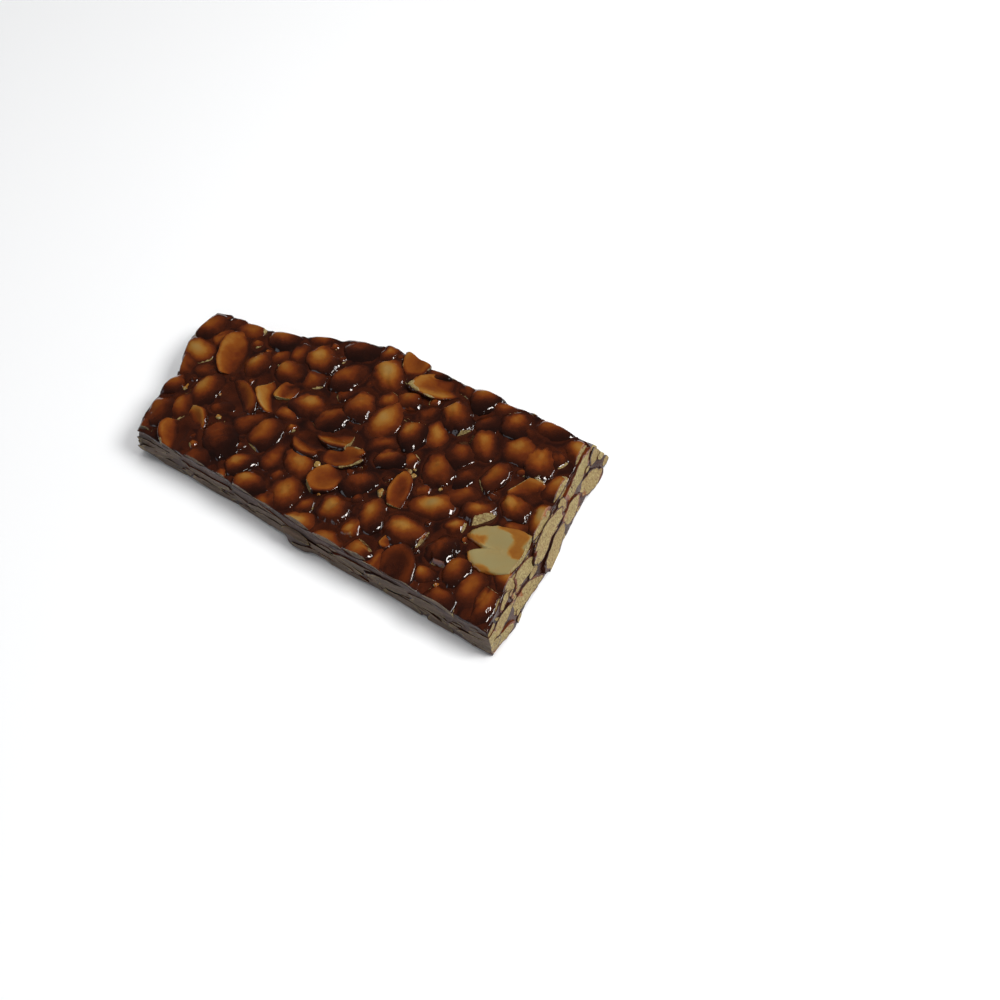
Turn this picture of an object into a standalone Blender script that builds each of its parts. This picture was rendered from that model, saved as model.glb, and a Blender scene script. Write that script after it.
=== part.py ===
"""A piece of peanut brittle: one solid slab of caramel and peanuts.

The piece was rolled flat, cut along its front and right sides and broken along its back and
left sides. It lies on its flat underside. Units are metres, +Z is up, +X runs along the long
cut side, and the origin is under the middle of the piece.
"""

import math
import random
from dataclasses import dataclass

import bmesh
import bpy
from mathutils import Vector, noise

MM = 0.001

# --- driving dimensions, in millimetres -----------------------------------------------------

SYRUP_LEVEL = 8.0        # height of the set caramel between the nuts
NUT_CROWN = (1.6, 2.5)   # how far the nuts' domes stand above it
SURFACE_WAVE = 0.35      # slow rise and fall that the rolling pin left
RIM_DROP = 0.7           # how far the top edge is rounded down

# The outline of the top, measured from its front left corner.
FRONT_CUT = ((0, 0), (30, 0.6), (62, -0.4), (90, 0.3), (113.8, 0))
RIGHT_CUT = ((113.8, 0), (110, 15), (109, 26), (106.5, 40), (103.5, 58))
BACK_BREAK = ((-11.7, 43), (-1.5, 45), (10.5, 46.5), (23.5, 52), (35, 57.3), (43, 58.6),
              (55, 57.6), (74, 58.3), (88, 58.8), (103.5, 58))
LEFT_BREAK = ((0, 0), (-3.3, 8.5), (-4.2, 18.5), (-12.2, 33.5), (-11.7, 43))

# How far each side leans out on its way down to the underside.
FRONT_SPREAD = 0.5
RIGHT_SPREAD = 3.3
BACK_SPREAD = 0.5
LEFT_SPREAD = 0.5
CORNER_SPREAD = 3.5      # extra reach of the lower nuts at the back right corner
SQUARE_END = 0.2         # share of the right side, next to the front, that leans out less

# A nut that sticks out low on the front side.
LUMP_X = 56
LUMP_HALF_LENGTH = 4
LUMP_HEIGHT = 5
LUMP_REACH = 1.4

CUT_ROUGHNESS = 0.25     # bumps on the cut sides
BREAK_ROUGHNESS = 0.7    # bumps on the broken sides
BUMP_LENGTH = 5.0        # spacing of those bumps
DRIFT_APART = Vector((31, 17, 5))      # keeps the bumps' moves along X and Y unalike

LENGTH_CELLS = 74
WIDTH_CELLS = 37
SIDE_RINGS = (0.72, 0.42, 0.16, 0.0)   # heights of the side's edge loops, as shares of the rim's
CORNER_ROUNDING = 2                    # smoothing passes along each side of the outline

# --- the nuts in the top layer --------------------------------------------------------------

# The largest nuts, by which this piece is known: how each lies, its centre from the front
# left corner, its length and width, and its turn in degrees.
BOLD_NUTS = (
    ("flat", 104, 20, 17, 12, 20),
    ("dome", 21, 9.5, 15.5, 10, 144),
    ("flat", 4.5, 33.5, 16, 9, 120),
    ("dome", 34.5, 31, 12, 9.5, 170),
    ("dome", 27, 44.5, 12, 9, 150),
    ("dome", 46, 49.5, 13, 9, 135),
    ("flat", 60, 53, 14, 8, 18),
    ("dome", 46.5, 37.5, 13, 9, 122),
    ("flat", 49, 26, 13, 7, 10),
    ("flat", 53.5, 21.5, 11, 6, 25),
    ("dome", 45, 14.5, 11.5, 8, 146),
    ("dome", 48.5, 5.5, 11, 8.5, 120),
    ("dome", 61.5, 8, 10, 8, 158),
    ("dome", 62.5, 17.5, 10, 7, 50),
    ("flat", 72.5, 20.5, 12, 5, 110),
    ("dome", 76.5, 31, 13, 8.5, 135),
    ("dome", 81, 12.5, 13.5, 9.5, 0),
    ("dome", 91.5, 13, 11.5, 8.5, 100),
    ("dome", 93, 26, 9, 8, 163),
    ("dome", 99.5, 31.5, 9, 7, 168),
    ("dome", 97, 46, 12, 8.5, 110),
    ("dome", 84.5, 53.5, 10, 8.5, 134),
    ("dome", 70.5, 47, 13, 8, 137),
    ("flat", 22.5, 28, 14.5, 7, 141),
    ("flat", 10.5, 5, 12, 8.5, 135),
    ("dome", 109, 6, 11.5, 6, 103),
)

# The nuts that fill the rest, in the order they are laid: length, width, how close they may
# come to the nuts already laid (1 is just touching), and how far they stand out compared with
# the bold nuts. The third and fourth rows are nuts tucked in below their neighbours.
FILLING = (
    (12, 8.5, 0.88, 1.0),
    (10, 7.5, 0.88, 1.0),
    (11, 8, 0.66, 0.65),
    (8.5, 6, 0.66, 0.65),
    (5.5, 4, 0.74, 0.7),
    (3.5, 2.6, 0.8, 0.6),
)
TRIES = 2500
SPLIT_SHARE = 0.12       # share of the filling nuts that lie with their flat inner face up
NUT_SEED = 7


@dataclass
class Nut:
    lies: str
    x: float
    y: float
    length: float
    width: float
    turn: float
    crown: float

    def __post_init__(self):
        """Three discs cover the nut's outline: its middle and its two ends."""
        end_radius = 0.4 * self.width
        reach = max(0.0, 0.5 * self.length - end_radius)
        along_x = reach * math.cos(self.turn)
        along_y = reach * math.sin(self.turn)
        self.discs = ((self.x, self.y, 0.5 * self.width),
                      (self.x + along_x, self.y + along_y, end_radius),
                      (self.x - along_x, self.y - along_y, end_radius))

    def touches(self, other, closeness):
        """True where the discs of two nuts come closer than their shared closeness allows."""
        if math.hypot(self.x - other.x, self.y - other.y) > 0.5 * (self.length + other.length):
            return False
        return any(math.hypot(x - other_x, y - other_y) < closeness * (radius + other_radius)
                   for x, y, radius in self.discs for other_x, other_y, other_radius in other.discs)

    def rise(self, x, y):
        """Height of the nut's dome above the caramel at a point of the top."""
        dx = x - self.x
        dy = y - self.y
        along = dx * math.cos(self.turn) + dy * math.sin(self.turn)
        across = dy * math.cos(self.turn) - dx * math.sin(self.turn)
        spread = (2 * along / self.length) ** 2 + (2 * across / self.width) ** 2
        if spread >= 1.0:
            return 0.0
        if self.lies == "flat":
            return 0.8 * self.crown * min(1.0, 1.6 * (1.0 - spread))
        return self.crown * (1.0 - spread) ** 0.7


def lay_nuts(outline):
    """The top layer: the bold nuts first, then ever smaller ones wherever they still fit."""
    chance = random.Random(NUT_SEED)
    nuts = []
    for lies, x, y, length, width, turn in BOLD_NUTS:
        nuts.append(Nut(lies, x, y, length, width, math.radians(turn), chance.uniform(*NUT_CROWN)))
    for length, width, closeness, prominence in FILLING:
        for _ in range(TRIES):
            x, y = outline.inside(chance.random(), chance.random())
            size = chance.uniform(0.88, 1.12)
            lies = "flat" if chance.random() < SPLIT_SHARE else "dome"
            turn = chance.uniform(0, math.pi)
            crown = chance.uniform(*NUT_CROWN) * prominence
            nut = Nut(lies, x, y, length * size, width * size, turn, crown)
            if not any(nut.touches(other, closeness) for other in nuts):
                nuts.append(nut)
    return nuts


# --- the outline ----------------------------------------------------------------------------

def evenly(points, cells):
    """Points spaced evenly along a broken line, with its corners slightly rounded."""
    corners = [Vector(point) for point in points]
    lengths = [(b - a).length for a, b in zip(corners, corners[1:])]
    spaced = []
    for step in range(cells + 1):
        distance = sum(lengths) * step / cells
        for start, end, length in zip(corners, corners[1:], lengths):
            if distance <= length or end is corners[-1]:
                spaced.append(start.lerp(end, min(1.0, distance / length)))
                break
            distance -= length
    for _ in range(CORNER_ROUNDING):
        inner = [(a + 2 * b + c) / 4 for a, b, c in zip(spaced, spaced[1:], spaced[2:])]
        spaced = [spaced[0], *inner, spaced[-1]]
    return spaced


class Outline:
    """Four sides that span a patch: u runs from left to right, v from front to back."""

    def __init__(self):
        self.front = evenly(FRONT_CUT, LENGTH_CELLS)
        self.back = evenly(BACK_BREAK, LENGTH_CELLS)
        self.left = evenly(LEFT_BREAK, WIDTH_CELLS)
        self.right = evenly(RIGHT_CUT, WIDTH_CELLS)

    @staticmethod
    def at(side, share):
        place = share * (len(side) - 1)
        start = min(int(place), len(side) - 2)
        return side[start].lerp(side[start + 1], place - start)

    def inside(self, u, v):
        """The point of the Coons patch between the four sides."""
        front_back = self.at(self.front, u).lerp(self.at(self.back, u), v)
        left_right = self.at(self.left, v).lerp(self.at(self.right, v), u)
        corners = self.front[0].lerp(self.front[-1], u).lerp(
            self.back[0].lerp(self.back[-1], u), v)
        return front_back + left_right - corners


def lean(u, v, x, share):
    """How far a side has moved outwards where it is down to a share of the rim's height."""
    right = RIGHT_SPREAD * u ** 8 * min(1.0, (v + 0.05) / SQUARE_END)
    back = (BACK_SPREAD + CORNER_SPREAD * u ** 12) * v ** 8
    reach = Vector((right - LEFT_SPREAD * (1 - u) ** 8, back - FRONT_SPREAD * (1 - v) ** 8))
    reach *= 1.0 - share
    if v == 0:
        near_lump = math.exp(-((x - LUMP_X) / LUMP_HALF_LENGTH) ** 4)
        height = share * SYRUP_LEVEL
        reach.y -= LUMP_REACH * near_lump / (1 + math.exp(3 * (height - LUMP_HEIGHT)))
    return reach


def drift(place):
    """A smooth chance move along X and Y, the same in every run."""
    return Vector((noise.noise(place), noise.noise(place + DRIFT_APART)))


def bumps(u, v, place):
    """Unevenness of the cut and broken sides, as a move along X and Y."""
    broken = max((1 - u) ** 8, v ** 8)
    size = CUT_ROUGHNESS + (BREAK_ROUGHNESS - CUT_ROUGHNESS) * broken
    return size * drift(place / BUMP_LENGTH)


def side_point(outline, u, v, rim_height, share):
    """The point of a side that lies below the rim's point (u, v), at a share of its height."""
    plain = outline.inside(u, v)
    place = plain + lean(u, v, plain.x, share)
    height = rim_height * share
    place += bumps(u, v, Vector((plain.x, plain.y, 1.6 * height)))
    return Vector((place.x, place.y, height))


# --- the solid ------------------------------------------------------------------------------

def top_height(x, y, nuts):
    wave = SURFACE_WAVE * noise.noise(Vector((x, y, 0)) / 35)
    return SYRUP_LEVEL + wave + max(nut.rise(x, y) for nut in nuts)


def shape_top(mesh, outline, nuts):
    """Bend a square grid into the outline and raise the nuts. Each vertex keeps its u and v."""
    bmesh.ops.create_grid(mesh, x_segments=LENGTH_CELLS, y_segments=WIDTH_CELLS, size=1.0)
    u_layer = mesh.verts.layers.float.new("u")
    v_layer = mesh.verts.layers.float.new("v")
    for vertex in mesh.verts:
        u = round(0.5 * (vertex.co.x + 1) * LENGTH_CELLS) / LENGTH_CELLS
        v = round(0.5 * (vertex.co.y + 1) * WIDTH_CELLS) / WIDTH_CELLS
        vertex[u_layer] = u
        vertex[v_layer] = v
        x, y = outline.inside(u, v)
        height = top_height(x, y, nuts)
        if vertex.is_boundary:
            vertex.co = side_point(outline, u, v, height - RIM_DROP, 1.0)
        else:
            vertex.co = (x, y, height)


def shape_sides(mesh, outline):
    """Draw the rim down ring by ring to the underside, and close that with one flat face."""
    u_layer = mesh.verts.layers.float["u"]
    v_layer = mesh.verts.layers.float["v"]
    rim_height = mesh.verts.layers.float.new("rim_height")
    ring = [edge for edge in mesh.edges if edge.is_boundary]
    for vertex in {vertex for edge in ring for vertex in edge.verts}:
        vertex[rim_height] = vertex.co.z
    for share in SIDE_RINGS:
        made = bmesh.ops.extrude_edge_only(mesh, edges=ring)["geom"]
        for vertex in (item for item in made if isinstance(item, bmesh.types.BMVert)):
            vertex.co = side_point(outline, vertex[u_layer], vertex[v_layer],
                                   vertex[rim_height], share)
        ring = [item for item in made if isinstance(item, bmesh.types.BMEdge) and item.is_boundary]
    bmesh.ops.holes_fill(mesh, edges=ring, sides=0)


def centre_on_base(mesh):
    """Put the origin under the middle of the bounding box, and turn millimetres to metres."""
    xs = [vertex.co.x for vertex in mesh.verts]
    ys = [vertex.co.y for vertex in mesh.verts]
    middle = Vector(((min(xs) + max(xs)) / 2, (min(ys) + max(ys)) / 2, 0))
    bmesh.ops.translate(mesh, verts=mesh.verts, vec=-middle)
    bmesh.ops.scale(mesh, verts=mesh.verts, vec=(MM, MM, MM))


def brittle_material():
    material = bpy.data.materials.new("caramel_and_peanuts")
    material.use_nodes = True
    shader = material.node_tree.nodes["Principled BSDF"]
    shader.inputs["Base Color"].default_value = (0.11, 0.036, 0.012, 1)
    shader.inputs["Roughness"].default_value = 0.2
    shader.inputs["Metallic"].default_value = 0.0
    shader.inputs["Coat Weight"].default_value = 0.6
    return material


def make_slab():
    outline = Outline()
    nuts = lay_nuts(outline)
    shape = bmesh.new()
    shape_top(shape, outline, nuts)
    shape_sides(shape, outline)
    centre_on_base(shape)
    bmesh.ops.recalc_face_normals(shape, faces=shape.faces)

    mesh = bpy.data.meshes.new("peanut_brittle")
    shape.to_mesh(mesh)
    shape.free()
    mesh.shade_smooth()
    mesh.set_sharp_from_angle(angle=math.radians(50))
    mesh.materials.append(brittle_material())
    slab = bpy.data.objects.new("peanut_brittle", mesh)
    bpy.context.scene.collection.objects.link(slab)
    return slab


for leftover in list(bpy.data.objects):
    bpy.data.objects.remove(leftover, do_unlink=True)
make_slab()
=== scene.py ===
# %% [markdown]
# # Peanut brittle, piece by piece
# Brittle is a conglomerate: nuts of every size held in caramel that set while it was hot. This
# lesson dresses the plain slab of the CAD model. The caramel becomes a core with a fine liquid
# surface, and every nut becomes a mesh of its own that is sunk into it. Lengths are written in
# millimetres, measured from the front left corner of the slab, because that is how a maker
# would describe them. One helper moves finished pieces into the frame, which is in metres.

# %% Load the frame
import math
import random
from dataclasses import dataclass, field
from functools import cache

import bmesh
import bpy
import numpy as np
from mathutils import Matrix, Vector, noise
from mathutils.bvhtree import BVHTree


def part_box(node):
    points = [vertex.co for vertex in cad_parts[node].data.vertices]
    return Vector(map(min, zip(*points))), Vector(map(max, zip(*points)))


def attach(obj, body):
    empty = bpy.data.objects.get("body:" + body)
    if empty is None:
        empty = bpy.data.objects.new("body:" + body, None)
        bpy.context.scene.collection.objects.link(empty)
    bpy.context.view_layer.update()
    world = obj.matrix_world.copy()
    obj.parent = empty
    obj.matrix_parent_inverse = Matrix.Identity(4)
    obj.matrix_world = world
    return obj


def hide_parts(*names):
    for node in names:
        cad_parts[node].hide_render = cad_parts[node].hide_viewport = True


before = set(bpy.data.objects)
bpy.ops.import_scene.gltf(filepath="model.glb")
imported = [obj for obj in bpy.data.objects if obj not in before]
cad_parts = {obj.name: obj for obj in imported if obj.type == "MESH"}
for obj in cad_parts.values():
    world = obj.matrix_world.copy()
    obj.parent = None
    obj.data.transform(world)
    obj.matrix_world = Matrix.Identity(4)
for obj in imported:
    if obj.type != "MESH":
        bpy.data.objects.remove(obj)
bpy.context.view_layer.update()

MM = 0.001
SLAB = "peanut_brittle"

# %% [markdown]
# ## The outline
# Two sides of the slab were cut with a knife and two were snapped off. Each side is a broken
# line with only the corners that it really has. A Coons patch then spans the four sides: it
# blends front into back and left into right, so a square grid can be bent into the slab.

# %% The four sides
FRONT_CUT = ((0, 0), (30, 0.6), (62, -0.4), (90, 0.3), (113.8, 0))
RIGHT_CUT = ((113.8, 0), (110, 15), (109, 26), (106.5, 40), (103.5, 58))
BACK_BREAK = ((-11.7, 43), (-1.5, 45), (10.5, 46.5), (23.5, 52), (35, 57.3), (43, 58.6),
              (55, 57.6), (74, 58.3), (88, 58.8), (103.5, 58))
LEFT_BREAK = ((0, 0), (-3.3, 8.5), (-4.2, 18.5), (-12.2, 33.5), (-11.7, 43))
FRONT_SPREAD = 0.5
RIGHT_SPREAD = 3.3
BACK_SPREAD = 0.5
LEFT_SPREAD = 0.5
CORNER_SPREAD = 3.5
SQUARE_END = 0.2
LUMP_X = 56
LUMP_HALF_LENGTH = 4
LUMP_HEIGHT = 5
LUMP_REACH = 1.4
CUT_ROUGHNESS = 0.25
BREAK_ROUGHNESS = 0.7
BUMP_LENGTH = 5.0
DRIFT_APART = Vector((31, 17, 5))
OUTLINE_STEPS = (74, 37)
SYRUP_LEVEL = 8.0
NUT_CROWN = (1.6, 2.5)
SURFACE_WAVE = 0.35
RIM_DROP = 0.7


def evenly(points, cells):
    """Points spaced evenly along a broken line, with its corners slightly rounded."""
    corners = [Vector(point) for point in points]
    lengths = [(b - a).length for a, b in zip(corners, corners[1:])]
    spaced = []
    for step in range(cells + 1):
        distance = sum(lengths) * step / cells
        for start, end, length in zip(corners, corners[1:], lengths):
            if distance <= length or end is corners[-1]:
                spaced.append(start.lerp(end, min(1.0, distance / length)))
                break
            distance -= length
    for _ in range(2):
        inner = [(a + 2 * b + c) / 4 for a, b, c in zip(spaced, spaced[1:], spaced[2:])]
        spaced = [spaced[0], *inner, spaced[-1]]
    return spaced


FRONT, BACK = (evenly(side, OUTLINE_STEPS[0]) for side in (FRONT_CUT, BACK_BREAK))
LEFT, RIGHT = (evenly(side, OUTLINE_STEPS[1]) for side in (LEFT_BREAK, RIGHT_CUT))


def at(side, share):
    place = share * (len(side) - 1)
    start = min(int(place), len(side) - 2)
    return side[start].lerp(side[start + 1], place - start)


def inside(u, v):
    """The point of the Coons patch: u runs from left to right, v from front to back."""
    front_back = at(FRONT, u).lerp(at(BACK, u), v)
    left_right = at(LEFT, v).lerp(at(RIGHT, v), u)
    corners = FRONT[0].lerp(FRONT[-1], u).lerp(BACK[0].lerp(BACK[-1], u), v)
    return front_back + left_right - corners


def lean(u, v, x, share):
    """How far a side has moved outwards where it is down to a share of the rim's height."""
    right = RIGHT_SPREAD * u ** 8 * min(1.0, (v + 0.05) / SQUARE_END)
    back = (BACK_SPREAD + CORNER_SPREAD * u ** 12) * v ** 8
    reach = Vector((right - LEFT_SPREAD * (1 - u) ** 8, back - FRONT_SPREAD * (1 - v) ** 8))
    reach *= 1.0 - share
    if v == 0:
        near_lump = math.exp(-((x - LUMP_X) / LUMP_HALF_LENGTH) ** 4)
        height = share * SYRUP_LEVEL
        reach.y -= LUMP_REACH * near_lump / (1 + math.exp(3 * (height - LUMP_HEIGHT)))
    return reach


def drift(place):
    """A smooth chance move along X and Y, the same in every run."""
    return Vector((noise.noise(place), noise.noise(place + DRIFT_APART)))


def bumps(u, v, place):
    """Unevenness of the cut and broken sides, as a move along X and Y."""
    broken = max((1 - u) ** 8, v ** 8)
    size = CUT_ROUGHNESS + (BREAK_ROUGHNESS - CUT_ROUGHNESS) * broken
    return size * drift(place / BUMP_LENGTH)


def side_point(u, v, rim_height, share):
    """The point of a side that lies below the rim's point (u, v), at a share of its height."""
    plain = inside(u, v)
    height = rim_height * share
    place = plain + lean(u, v, plain.x, share) + bumps(u, v, Vector((*plain, 1.6 * height)))
    return Vector((place.x, place.y, height))


# %% Where the outline sits in the frame
CAD_RINGS = (1.0, 0.72, 0.42, 0.16, 0.0)
rim_uv = [(i / OUTLINE_STEPS[0], v) for i in range(OUTLINE_STEPS[0] + 1) for v in (0, 1)]
rim_uv += [(u, j / OUTLINE_STEPS[1]) for j in range(OUTLINE_STEPS[1] + 1) for u in (0, 1)]
foot = [side_point(u, v, 0.0, 0.0) for u, v in rim_uv]
low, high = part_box(SLAB)
FOOT_FRONT = min(p.y for p in foot)
FOOT_RIGHT = max(p.x for p in foot)
MIDDLE = Vector((FOOT_RIGHT - high.x / MM, FOOT_FRONT - low.y / MM, 0))
TOP_HEIGHT = high.z / MM
BOX_LOW = np.array(low / MM + MIDDLE) + 0.02
BOX_HIGH = np.array(high / MM + MIDDLE) - 0.02
print("front left corner lies at", [round(v, 2) for v in -MIDDLE], "mm, top at", round(TOP_HEIGHT, 2))

# %% [markdown]
# ## The nuts of the top layer
# A maker recognises this slab by its largest nuts, so those are listed one by one. All others are
# thrown at random and kept where they touch nothing, the large ones first. The throws come
# from a seeded generator, so every run lays the same slab as the CAD model.

# %% The large nuts and the filling
# How each lies, its centre, length and width, and its turn in degrees.
BOLD_NUTS = (
    ("flat", 104, 20, 17, 12, 20),
    ("dome", 21, 9.5, 15.5, 10, 144),
    ("flat", 4.5, 33.5, 16, 9, 120),
    ("dome", 34.5, 31, 12, 9.5, 170),
    ("dome", 27, 44.5, 12, 9, 150),
    ("dome", 46, 49.5, 13, 9, 135),
    ("flat", 60, 53, 14, 8, 18),
    ("dome", 46.5, 37.5, 13, 9, 122),
    ("flat", 49, 26, 13, 7, 10),
    ("flat", 53.5, 21.5, 11, 6, 25),
    ("dome", 45, 14.5, 11.5, 8, 146),
    ("dome", 48.5, 5.5, 11, 8.5, 120),
    ("dome", 61.5, 8, 10, 8, 158),
    ("dome", 62.5, 17.5, 10, 7, 50),
    ("flat", 72.5, 20.5, 12, 5, 110),
    ("dome", 76.5, 31, 13, 8.5, 135),
    ("dome", 81, 12.5, 13.5, 9.5, 0),
    ("dome", 91.5, 13, 11.5, 8.5, 100),
    ("dome", 93, 26, 9, 8, 163),
    ("dome", 99.5, 31.5, 9, 7, 168),
    ("dome", 97, 46, 12, 8.5, 110),
    ("dome", 84.5, 53.5, 10, 8.5, 134),
    ("dome", 70.5, 47, 13, 8, 137),
    ("flat", 22.5, 28, 14.5, 7, 141),
    ("flat", 10.5, 5, 12, 8.5, 135),
    ("dome", 109, 6, 11.5, 6, 103),
)
# Length, width, how close to the nuts already laid, and how far they stand out.
FILLING = (
    (12, 8.5, 0.88, 1.0),
    (10, 7.5, 0.88, 1.0),
    (11, 8, 0.66, 0.65),
    (8.5, 6, 0.66, 0.65),
    (5.5, 4, 0.74, 0.7),
    (3.5, 2.6, 0.8, 0.6),
)
TRIES = 2500
SPLIT_SHARE = 0.12
NUT_SEED = 7
NUT_SINK = 1.2          # how far below the syrup's level a nut is widest
OVERLAP = 1.13          # how much wider nuts are than the space that was kept for them
FULLNESS = 2.4          # 2 gives an ellipsoid, more gives a blunter body


@dataclass
class Nut:
    lies: str
    x: float
    y: float
    length: float
    width: float
    turn: float
    crown: float

    def __post_init__(self):
        """Three discs cover the nut's outline: its middle and its two ends."""
        end_radius = 0.4 * self.width
        reach = max(0.0, 0.5 * self.length - end_radius)
        along_x = reach * math.cos(self.turn)
        along_y = reach * math.sin(self.turn)
        self.discs = ((self.x, self.y, 0.5 * self.width),
                      (self.x + along_x, self.y + along_y, end_radius),
                      (self.x - along_x, self.y - along_y, end_radius))

    def touches(self, other, closeness):
        """True where the discs of two nuts come closer than their shared closeness allows."""
        if math.hypot(self.x - other.x, self.y - other.y) > 0.5 * (self.length + other.length):
            return False
        return any(math.hypot(x - other_x, y - other_y) < closeness * (radius + other_radius)
                   for x, y, radius in self.discs for other_x, other_y, other_radius in other.discs)

    def swell(self):
        """How much wider the nut's body is than its outline, which is taken above the syrup."""
        high = (NUT_SINK + 0.2) / (self.crown + NUT_SINK)
        return OVERLAP / (1 - high ** FULLNESS) ** (1 / FULLNESS)

    def spread(self, x, y):
        """0 at the nut's middle and 1 on its outline."""
        dx = x - self.x
        dy = y - self.y
        along = dx * math.cos(self.turn) + dy * math.sin(self.turn)
        across = dy * math.cos(self.turn) - dx * math.sin(self.turn)
        return (2 * along / self.length) ** 2 + (2 * across / self.width) ** 2


def lay_top_nuts():
    chance = random.Random(NUT_SEED)
    nuts = []
    for lies, x, y, length, width, turn in BOLD_NUTS:
        nuts.append(Nut(lies, x, y, length, width, math.radians(turn), chance.uniform(*NUT_CROWN)))
    for length, width, closeness, prominence in FILLING:
        for _ in range(TRIES):
            x, y = inside(chance.random(), chance.random())
            size = chance.uniform(0.88, 1.12)
            lies = "flat" if chance.random() < SPLIT_SHARE else "dome"
            turn = chance.uniform(0, math.pi)
            crown = chance.uniform(*NUT_CROWN) * prominence
            nut = Nut(lies, x, y, length * size, width * size, turn, crown)
            if not any(nut.touches(other, closeness) for other in nuts):
                nuts.append(nut)
    return nuts


top_nuts = lay_top_nuts()
print(len(top_nuts), "nuts and bits in the top layer")

# %% [markdown]
# ## The caramel's surface
# Liquid caramel climbs a little up every nut that it wets, and fills narrow gaps higher than
# wide ones. So its height is worked out point by point: a level, a slow wave from the rolling
# pin, and a climb that fades within a millimetre of each nut. Low nuts end up drowned. They
# still glow through the caramel, so their height is worked out too, as smooth eggs; the depth
# of caramel above them then sets its colour. Arrays keep this quick.

# %% Height of the caramel and of the nuts in it
CLIMB = 1.0             # how high the caramel climbs a nut
CLIMB_LENGTH = 0.9      # how fast that fades


def wave(x, y):
    return np.array([SURFACE_WAVE * noise.noise(Vector((a, b, 0)) / 35) for a, b in zip(x, y)])


def caramel_height(x, y):
    dry = np.ones_like(x)
    for nut in top_nuts:
        outside = (np.sqrt(nut.spread(x, y)) - 1) * nut.width / 2
        near = np.abs(outside) < 4 * CLIMB_LENGTH
        dry[near] *= 1 - 0.8 * np.exp(-np.abs(outside[near]) / CLIMB_LENGTH)
    return SYRUP_LEVEL + wave(x, y) + CLIMB * (1 - dry)


def nut_height(x, y):
    """Height of the highest nut at each point."""
    highest = np.full_like(x, -3.0)
    for nut in top_nuts:
        spread = nut.spread(x, y) / nut.swell() ** 2
        within = spread < 1
        rise = (nut.crown + NUT_SINK) * (1 - spread[within] ** (FULLNESS / 2)) ** (1 / FULLNESS) - NUT_SINK
        if nut.lies == "flat":
            rise = np.minimum(rise, 0.85 * nut.crown)
        highest[within] = np.maximum(highest[within], rise)
    return SYRUP_LEVEL + wave(x, y) + highest


# %% [markdown]
# ## One way to make every nut
# A peanut is a blunt egg with a pointed end, so every nut starts as a sphere that is stretched,
# tapered, bent and made a little lumpy. A kernel that split in two lies open: its upper half
# is pressed down to a nearly flat face. Breaks and knife cuts are planes. What lies beyond a
# plane is pressed back onto it, towards the middle of what is left. The vertices nearest to the
# plane slide along their edges until they meet it, which gives the cut a clean edge, and the nut
# stays one closed skin whatever is cut. Where caramel has rounded a break, its edge is relaxed.

# %% Bodies and their cuts
FINE_LUMP = 1.3          # size of the fine lumps on a nut


@dataclass
class Cut:
    """A plane through a nut: a point, its outward normal, and the numbers of the fresh face."""
    point: Vector
    normal: Vector
    values: dict
    rounded: bool = False


@dataclass
class Body:
    """A nut as a thing in space: its middle, its three axes as columns, and its half sizes."""
    middle: Vector
    axes: Matrix
    half: Vector
    open_at: float = 1.0     # height of an open face, as a share of the half height
    fullness: float = FULLNESS
    taper: float = 0.25
    bend: float = 0.0
    lumpiness: float = 0.08
    fine_lumps: float = 0.3
    notch: float = 0.0
    proud: float = 0.0       # how far its sliced faces stand out of a side
    seed: float = 0.0
    detail: int = 4
    cuts: list = field(default_factory=list)


@cache
def sphere(detail):
    """Places and edges of a unit icosphere."""
    shape = bmesh.new()
    bmesh.ops.create_icosphere(shape, subdivisions=detail, radius=1.0)
    places = np.array([vertex.co[:] for vertex in shape.verts])
    edges = np.array([[vertex.index for vertex in edge.verts] for edge in shape.edges])
    shape.free()
    return places, edges


def smooth_least(first, second, blend):
    """The smaller of two arrays, rounded off where they are nearly equal, and their mix."""
    mix = np.clip(0.5 + 0.5 * (first - second) / blend, 0, 1)
    return first * (1 - mix) + second * mix - blend * mix * (1 - mix), mix


def grow(body):
    """Places of a nut's vertices in space and in the nut, and how far each is on an open face."""
    unit, _ = sphere(body.detail)
    shift = Vector((body.seed, 0, 7))
    coarse = np.array([noise.noise(Vector(d) * 1.2 + shift) for d in unit])
    fine = np.array([noise.noise(Vector(d) / FINE_LUMP + shift) for d in unit * np.array(body.half)])
    wobble = coarse + body.fine_lumps * fine
    turn = np.arctan2(unit[:, 1], -unit[:, 0])
    unit = unit / (np.abs(unit) ** body.fullness).sum(1, keepdims=True) ** (1 / body.fullness)
    unit *= 1 + 2 * body.lumpiness * wobble[:, None]
    unit *= 1 - body.notch * np.exp(-(turn / 0.2) ** 2)[:, None]
    unit[:, 1] *= 1 - body.taper * np.clip(unit[:, 0], 0, 1) ** 2
    unit[:, 1] += body.bend * unit[:, 0] ** 2
    opened = np.zeros(len(unit))
    if body.open_at < 1:
        unit[:, 2], opened = smooth_least(unit[:, 2], np.full(len(unit), body.open_at), 0.4)
        unit[:, 2] -= 0.22 * opened * np.exp(-(unit[:, 1] / 0.45) ** 2 - (unit[:, 0] / 0.7) ** 4)
    places = unit * np.array(body.half) @ np.array(body.axes).T + np.array(body.middle)
    return places, unit, opened


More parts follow.
